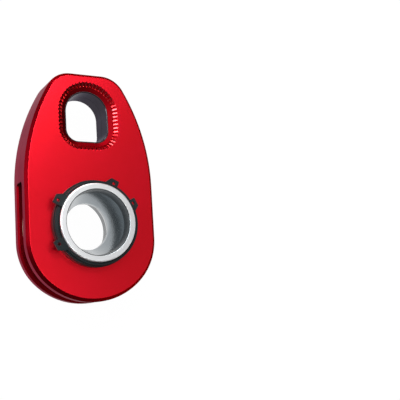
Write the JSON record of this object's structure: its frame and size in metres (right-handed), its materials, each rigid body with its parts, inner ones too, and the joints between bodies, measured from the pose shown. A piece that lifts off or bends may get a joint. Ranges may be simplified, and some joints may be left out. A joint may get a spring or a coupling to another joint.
{
  "type": "snatch block",
  "caption": "Hollow-hub snatch block: two swinging red teardrop cheeks with a fluted shackle window, a grooved sheave between them, held on the hub by retaining rings.",
  "frame": {"origin": "centre of the hub's bore, on the plane between the two cheeks", "axes": "+Z along the hub axis towards the front rim, +Y towards the shackle window, +X to the right of the front face"},
  "size_m": [0.1044, 0.1793, 0.056],
  "materials": {
    "red_anodised": "red anodised aluminium, satin gloss",
    "hub_aluminium": "turned and polished aluminium",
    "sheave_aluminium": "turned aluminium",
    "bearing_bronze": "sintered bearing bronze",
    "black_bush": "black bearing plastic",
    "black_steel": "black phosphated spring steel",
    "liner_steel": "dark smooth steel"
  },
  "bodies": {
    "hub": {"hub": "hub_aluminium", "front_thrust_washer": "black_steel", "front_inner_retaining_ring": "black_steel", "front_outer_retaining_ring": "black_steel", "rear_thrust_washer": "black_steel", "rear_inner_retaining_ring": "black_steel", "rear_outer_retaining_ring": "black_steel"},
    "front_cheek": {"front_cheek": "red_anodised", "front_window_liner": "liner_steel", "front_cheek_bush": "black_bush"},
    "rear_cheek": {"rear_cheek": "red_anodised", "rear_window_liner": "liner_steel", "rear_cheek_bush": "black_bush"},
    "sheave": {"sheave": "sheave_aluminium", "sheave_bush": "bearing_bronze", "front_sheave_washer": "bearing_bronze", "rear_sheave_washer": "bearing_bronze"}
  },
  "joints": [
    {"name": "front_cheek_swing", "type": "hinge", "parent": "hub", "child": "front_cheek", "pos_m": [0, 0, 0.012], "axis": [0, 0, 1], "continuous": true},
    {"name": "rear_cheek_swing", "type": "hinge", "parent": "hub", "child": "rear_cheek", "pos_m": [0, 0, -0.012], "axis": [0, 0, 1], "continuous": true},
    {"name": "sheave_spin", "type": "hinge", "parent": "hub", "child": "sheave", "pos_m": [0, 0, 0], "axis": [0, 0, 1], "continuous": true}
  ]
}
